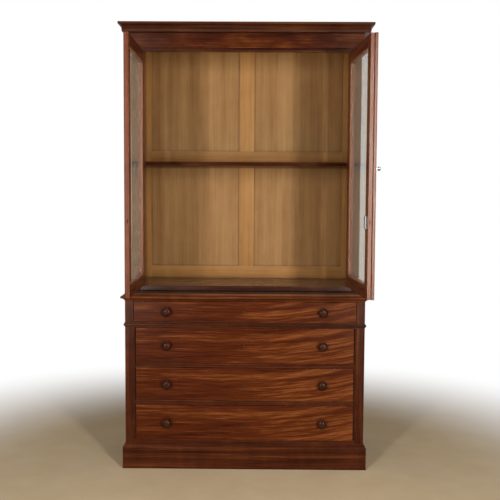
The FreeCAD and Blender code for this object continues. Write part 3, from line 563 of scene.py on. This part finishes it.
# Each rail of the back as its middle height and half its height, in metres.
BACK_RAILS = [(0.944, 0.033), (1.551, 0.043), (2.140, 0.009)]
BACK_STILE_EDGE = 0.512
BOX_SIDE_DEPTH = 11 * MM
dress(timber("oak_panels", OAK, "upright"), "back_panels")
dress(timber("oak_back_frame", OAK_FRAME, "panelled", edge=BACK_STILE_EDGE, rails=BACK_RAILS,
             plank=(0.5, 0.2, 0)), "back_frame")
for number in DRAWERS:
    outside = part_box("drawer_%d_box" % number)[1].x
    dress(timber("oak_drawer_%d" % number, OAK, "boxed", edge=outside - BOX_SIDE_DEPTH,
                 plank=(number * 0.7, 0.1, 0.3)), "drawer_%d_box" % number)
print(len(dressed), "nodes so far")

# %% [markdown]
# ### Pine
# Back boards, runners, stops and blocks are of sawn pine, never polished and browned by air. The eye gets a
# dull straw brown with bands of growth a finger wide. They could share the oak, but the saw leaves pine
# rougher, and its bands stand out more.

# %% Pine
PINE = {
    "tones": ("#77552f", "#9a7443", "#ad8752", "#bd9a66"), "worn_and_highlit": "#c3a273",
    "band": (1100, 12, 40), "line": (300, 2.5, 5), "pore": (60, 2, 3), "mottle": (120, 160, 90),
    "wander_size": (500, 160, 120), "wander": 26, "line_share": 0.25, "mottle_share": 0.20,
    "pore_depth": 0.15, "relief": 0.25, "gloss": (0.62, 0.78), "shine": 0.2, "film": "#ffffff",
    "painted_shade": 0.5,
}
dress(timber("pine_level", PINE, "level"),
      "plinth_back", "base_bottom_board", "base_back", "upper_top_board", "drawer_stops")
dress(timber("pine_deep", PINE, "deep", plank=(0.3, 0.5, 0.2)), "drawer_runners")
dress(timber("pine_upright", PINE, "upright", plank=(0.9, 0.1, 0.7)), "plinth_blocks")
print(len(dressed), "nodes so far")

# %% [markdown]
# ### Glass
# Each door holds one tall pane of drawn sheet glass. It is clear and smooth, but old panes are never quite
# flat, so what they mirror wavers. A film of dust lies on it, which hardly shows from straight in front
# and turns the pane grey at a slant, where the eye looks along the film. Real glass lets the lamps
# through, but a path tracer would find that light only by luck, so for shadow rays the pane is plainly
# see-through.

# %% Sheet glass
def sheet_glass():
    """A clear pane with the slow waves of drawn glass and a film of dust."""
    material, tree = blank("drawn_sheet_glass")
    seat = add(tree, "TexCoord").outputs["Object"]
    # Waves about a hand's breadth apart, drawn upwards through the sheet.
    stretched = add(tree, "VectorMath", {0: seat}, {1: per_metre(120, 120, 300)}, operation="MULTIPLY")
    waves = add(tree, "TexNoise", {"Vector": stretched}, {"Scale": 1, "Detail": 1})
    waver = add(tree, "Bump", {"Height": waves}, {"Strength": 0.12, "Distance": 1.0 * MM})
    clear = add(tree, "BsdfPrincipled", {"Normal": waver},
                {"Base Color": linear("#f4f8f5"), "Roughness": 0.01, "IOR": 1.5, "Transmission Weight": 1.0})
    # Dust in soft clouds about 40 mm across, next to nothing from in front and dense along the pane.
    clouds = add(tree, "TexNoise", {"Vector": seat}, {"Scale": per_metre(40)[0], "Detail": 3})
    slant = add(tree, "LayerWeight", values={"Blend": 0.5}).outputs["Facing"]
    slant = add(tree, "Math", {0: slant}, {1: 5.0}, operation="POWER")
    film = add(tree, "MapRange", {"Value": slant}, {"To Min": 0.012, "To Max": 1.15})
    film = add(tree, "Math", {0: film, 1: clouds}, operation="MULTIPLY")
    dust = add(tree, "BsdfDiffuse", values={"Color": linear("#d6ccbd")})
    dusty = add(tree, "MixShader", {0: film, 1: clear, 2: dust})
    # Lamplight comes through less as it slants, because more is mirrored away or caught in the dust.
    passed = add(tree, "ValToRGB", {"Fac": slant}, stops=[(0.0, "#eef3ef"), (0.35, "#3f413f")])
    through = add(tree, "BsdfTransparent", {"Color": passed})
    ray = add(tree, "LightPath").outputs["Is Shadow Ray"]
    pane = add(tree, "MixShader", {0: ray, 1: dusty, 2: through})
    add(tree, "OutputMaterial", {"Surface": pane})
    return material


dress(sheet_glass(), "left_door_glass", "right_door_glass")
print(len(dressed), "nodes so far")

# %% [markdown]
# ### Brass
# Hinges and bolts are of cast and rolled brass, filed, lacquered long ago and since tarnished. The eye gets
# a dull yellow metal with brown clouds. The bolt of the lock is out of reach of any duster, so it is
# darker. The little knob of the door is brass under a plating of nickel, which hands have kept bright,
# so it is nearly white. All three could be plain metals of one colour each, but clouds of tarnish and
# file marks are what tells old metal from new.

# %% Aged brass
def aged_brass(name, dark, pale, roughest):
    """Old metal with tarnish in soft clouds, from a dark tone to a pale one, and fine file marks."""
    material, tree = blank(name)
    smoothest = roughest * 0.6
    seat = add(tree, "TexCoord").outputs["Object"]
    # Tarnish clouds about 9 mm across, and file marks 0.6 mm apart, coarser than real ones.
    clouds = add(tree, "TexNoise", {"Vector": seat}, {"Scale": per_metre(9)[0], "Detail": 4})
    tint = add(tree, "ValToRGB", {"Fac": clouds}, stops=[(0.35, dark), (0.65, pale)])
    marks = add(tree, "TexNoise", {"Vector": seat}, {"Scale": per_metre(0.6)[0], "Detail": 1})
    dullness = add(tree, "MapRange", {"Value": clouds},
                   {"From Min": 0.3, "From Max": 0.7, "To Min": roughest, "To Max": smoothest})
    relief = add(tree, "Bump", {"Height": marks}, {"Strength": 0.1, "Distance": 0.1 * MM})
    metal = add(tree, "BsdfPrincipled", {"Base Color": tint, "Roughness": dullness, "Normal": relief},
                {"Metallic": 1.0})
    add(tree, "OutputMaterial", {"Surface": metal})
    return material


brass = aged_brass("aged_brass", "#6f5328", "#ad8a48", 0.42)
plated_brass = aged_brass("nickel_plated_brass", "#bdbcb4", "#ecece6", 0.25)
tarnished_brass = aged_brass("tarnished_brass", "#33230f", "#6a5029", 0.55)
dress(brass, "hinge_fixed_leaves", "hinge_pins", "left_door_hinge_leaves", "right_door_hinge_leaves",
      "left_door_bolt_plates", "top_bolt", "bottom_bolt")
dress(plated_brass, "right_door_knob")
dress(tarnished_brass, "lock_bolt")
print(len(dressed), "nodes so far")

# %% [markdown]
# ### Steel
# The case of the door lock is of sheet steel, rolled and left dull. The eye gets a pale grey with a few
# brown freckles of rust. It could be brass like the hinges, but in the picture it is a pale mark.

# %% Dull steel
def dull_steel():
    """Rolled sheet steel with fine roll marks and a few freckles of rust."""
    material, tree = blank("dull_rolled_steel")
    seat = add(tree, "TexCoord").outputs["Object"]
    # Freckles about 5 mm across, and roll marks drawn 1 mm apart, coarser than real ones.
    freckles = add(tree, "TexNoise", {"Vector": seat}, {"Scale": per_metre(5)[0], "Detail": 4})
    tint = add(tree, "ValToRGB", {"Fac": freckles}, stops=[(0.30, "#7d6a5a"), (0.46, "#c4c0b9")])
    drawn_out = add(tree, "VectorMath", {0: seat}, {1: per_metre(1, 1, 25)}, operation="MULTIPLY")
    marks = add(tree, "TexNoise", {"Vector": drawn_out}, {"Scale": 1, "Detail": 2})
    dullness = add(tree, "MapRange", {"Value": marks},
                   {"From Min": 0.3, "From Max": 0.7, "To Min": 0.40, "To Max": 0.52})
    relief = add(tree, "Bump", {"Height": marks}, {"Strength": 0.1, "Distance": 0.1 * MM})
    metal = add(tree, "BsdfPrincipled", {"Base Color": tint, "Roughness": dullness, "Normal": relief},
                {"Metallic": 1.0})
    add(tree, "OutputMaterial", {"Surface": metal})
    return material


dress(dull_steel(), "right_door_lock")
print("undressed nodes:", sorted(set(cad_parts) - dressed))

# %% [markdown]
# ## Screws
# Slotted brass screws hold the hinges, the bolt plates and the lock. They were cut by hand, so no two slots
# line up. A dot of colour would be enough from the front of the room, but up close a real head has a
# bevelled rim and a slot. The slot here is shallow, and a near-black face in it is painted shade, with a
# little dirt and dust.

# %% Screw heads
def keyway_shade_finish():
    """Painted shade for the inside of a keyhole and of a screw's slot: near black, with dust in specks of
    about 2 mm.
    """
    material, tree = blank("painted_shade_keyway")
    dust = add(tree, "TexNoise", {"Vector": add(tree, "TexCoord").outputs["Object"]},
               {"Scale": per_metre(2)[0], "Detail": 2})
    tint = add(tree, "ValToRGB", {"Fac": dust}, stops=[(0.4, "#080605"), (0.7, "#1c1511")])
    surface = add(tree, "BsdfPrincipled", {"Base Color": tint}, {"Roughness": 0.8})
    add(tree, "OutputMaterial", {"Surface": surface})
    return material


def placed(name, body, mesh, seat, *materials):
    """Makes an object of a built mesh, puts it in place and lets it ride on a body."""
    data = bpy.data.meshes.new(name)
    mesh.transform(seat)
    mesh.to_mesh(data)
    mesh.free()
    piece = bpy.data.objects.new(name, data)
    bpy.context.scene.collection.objects.link(piece)
    for material in materials:
        data.materials.append(material)
    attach(piece, body)


def screw_head(mesh, place, facing, turn):
    """Adds a slotted head, 0.3 mm proud, at place in millimetres on a face that looks along facing."""
    radius, half_slot, rim, slot_shade_lift = 3.2, 0.45, 0.3, 0.04
    steps = 12
    count = steps + 1
    aim = Vector(facing).to_track_quat("-Y", "Z").to_matrix().to_4x4()
    seat = Matrix.Scale(MM, 4) @ Matrix.Translation(place) @ aim @ Matrix.Rotation(turn, 4, "Y")
    for half in (1, -1):
        rings = []
        for reach, lift in ((radius, 0), (radius, rim / 2), (radius - rim, rim)):
            start = math.asin(half_slot / reach)
            angles = [start + (math.pi - 2 * start) * i / steps for i in range(count)]
            points = [Vector((reach * math.cos(a), -lift, half * reach * math.sin(a))) for a in angles]
            rings.append([mesh.verts.new(seat @ point) for point in points])
        for low, high in zip(rings, rings[1:]):
            for i in range(count):
                after = (i + 1) % count
                mesh.faces.new((low[i], low[after], high[after], high[i]))
        mesh.faces.new(rings[-1])
    end = radius - rim
    slot_corners = [(-end, -half_slot), (end, -half_slot), (end, half_slot), (-end, half_slot)]
    # The slot's near-black floor is painted shade, with a little dirt.
    slot_shade = mesh.faces.new([mesh.verts.new(seat @ Vector((x, -slot_shade_lift, z))) for x, z in slot_corners])
    slot_shade.material_index = 1


keyway_shade = keyway_shade_finish()
print("screw heads are brass over", keyway_shade.name)

# %% [markdown]
# The heads could be placed straight on the open doors, but with the doors shut all the places are easy to
# measure. So they are drawn shut, in millimetres, and those on the doors are then swung open.

# %% Places of the screws
# The line that a door turns about is in metres, as the finished meshes are.
HINGE_X, HINGE_Y = 0.52625, 0.045
HINGE_HEIGHTS = (1065.5, 1485.5, 1905.5)
# Each screw of a leaf: how far back it is, and how far above the middle of its hinge.
LEAF_SCREWS = ((58.5, -21), (62.5, 0), (58.5, 21))
FIXED_LEAF_X, DOOR_LEAF_X = 527, 525.5
BOLT_PLATE_X, BOLT_PLATE_Y = -31.75, 72.5
BOLT_SCREW_HEIGHTS = (935.5, 1007.5, 1963.5, 2035.5)
LOCK_SCREW_XS, LOCK_BACK_Y = (33.25, 50.25), 80.0
LOCK_SCREW_HEIGHTS = (1227, 1273)
SLOT_TURNS = (0.3, 1.2, 2.2, 0.8, 2.9, 1.7, 0.1, 2.5, 1.0)


def swing(side):
    """The turn that takes a door from shut to the way it stands, about its hinge line."""
    hinge = Vector((HINGE_X if side == "right" else -HINGE_X, HINGE_Y, 0))
    return Matrix.Translation(hinge) @ Matrix.Rotation(-opened[side], 4, "Z") @ Matrix.Translation(-hinge)


hinge_screws = [(y, z + rise) for z in HINGE_HEIGHTS for y, rise in LEAF_SCREWS]
screws = {"cabinet": [], "left_door": [], "right_door": []}
for hand, body in ((-1, "left_door"), (1, "right_door")):
    for y, z in hinge_screws:
        screws["cabinet"].append(((hand * FIXED_LEAF_X, y, z), (-hand, 0, 0)))
        screws[body].append(((hand * DOOR_LEAF_X, y, z), (hand, 0, 0)))
screws["left_door"] += [((BOLT_PLATE_X, BOLT_PLATE_Y, z), (0, 1, 0)) for z in BOLT_SCREW_HEIGHTS]
screws["right_door"] += [((x, LOCK_BACK_Y, z), (0, 1, 0)) for x in LOCK_SCREW_XS for z in LOCK_SCREW_HEIGHTS]
seats = {"cabinet": Matrix(), "left_door": swing("left"), "right_door": swing("right")}
for body, places in screws.items():
    heads = bmesh.new()
    for number, (place, facing) in enumerate(places):
        screw_head(heads, place, facing, SLOT_TURNS[number % len(SLOT_TURNS)])
    bmesh.ops.recalc_face_normals(heads, faces=heads.faces)
    placed(body + "_screws", body, heads, seats[body], brass, keyway_shade)
print({body: len(places) for body, places in screws.items()}, "screws")

# %% [markdown]
# ## Keyholes
# Each drawer has a keyhole lined with a thin brass thread, let in nearly flush, and so has the right door.
# The hole can't be cut in the imported front, so the thread rings a dark floor that lies a hair above the
# wood, as painted shade in place of the hole. A flat picture of a keyhole would do from far away, but the
# raised ring catches the light as the real one does.

# %% Keyhole threads
def keyhole_outline(grow):
    """Points round a keyhole in millimetres, set out by grow: a round head over a flared slot."""
    head, neck, foot, rise, drop = 2.9 + grow, 1.3 + grow, 1.9 + grow, 3.6, -4.6
    head_steps, foot_steps = 20, 6
    spread = math.acos(neck / head)
    points = []
    for i in range(head_steps + 1):
        angle = -spread + (math.pi + 2 * spread) * i / head_steps
        points.append((head * math.cos(angle), rise + head * math.sin(angle)))
    for i in range(foot_steps + 1):
        angle = math.pi + math.pi * i / foot_steps
        points.append((foot * math.cos(angle), drop + foot * math.sin(angle)))
    return points


def keyhole_thread(name, body, seat):
    """A brass thread round a keyhole floor of painted shade, drawn facing -Y and then put in place by the
    matrix seat.
    """
    # How far each ring is set out from the hole and where it lies along Y, in millimetres.
    rings = [(2.1, 0.0), (1.7, -0.7), (0.3, -0.7), (0.0, -0.05)]
    mesh = bmesh.new()
    loops = [[mesh.verts.new((x * MM, y * MM, z * MM)) for x, z in keyhole_outline(grow)]
             for grow, y in rings]
    count = len(loops[0])
    for outer, inner in zip(loops, loops[1:]):
        for i in range(count):
            after = (i + 1) % count
            mesh.faces.new((outer[i], outer[after], inner[after], inner[i]))
    # The keyhole's near-black floor is painted shade in place of the hole.
    keyway = mesh.faces.new(loops[-1])
    keyway.material_index = 1
    bmesh.ops.recalc_face_normals(mesh, faces=mesh.faces)
    placed(name, body, mesh, seat, tarnished_brass, keyway_shade)


DRAWER_KEYHOLES = {1: (-2, 785), 2: (-2, 620), 3: (-1, 417), 4: (0, 212)}
DOOR_KEYHOLE = (41.75 * MM, 0.05, 1.2464)
for number, (x, z) in DRAWER_KEYHOLES.items():
    keyhole_thread("drawer_%d_keyhole" % number, "drawer_%d" % number,
                   Matrix.Translation((x * MM, 0, z * MM)))
keyhole_thread("door_keyhole", "right_door", swing("right") @ Matrix.Translation(DOOR_KEYHOLE))
print("keyholes on", len(DRAWER_KEYHOLES), "drawers and a door")
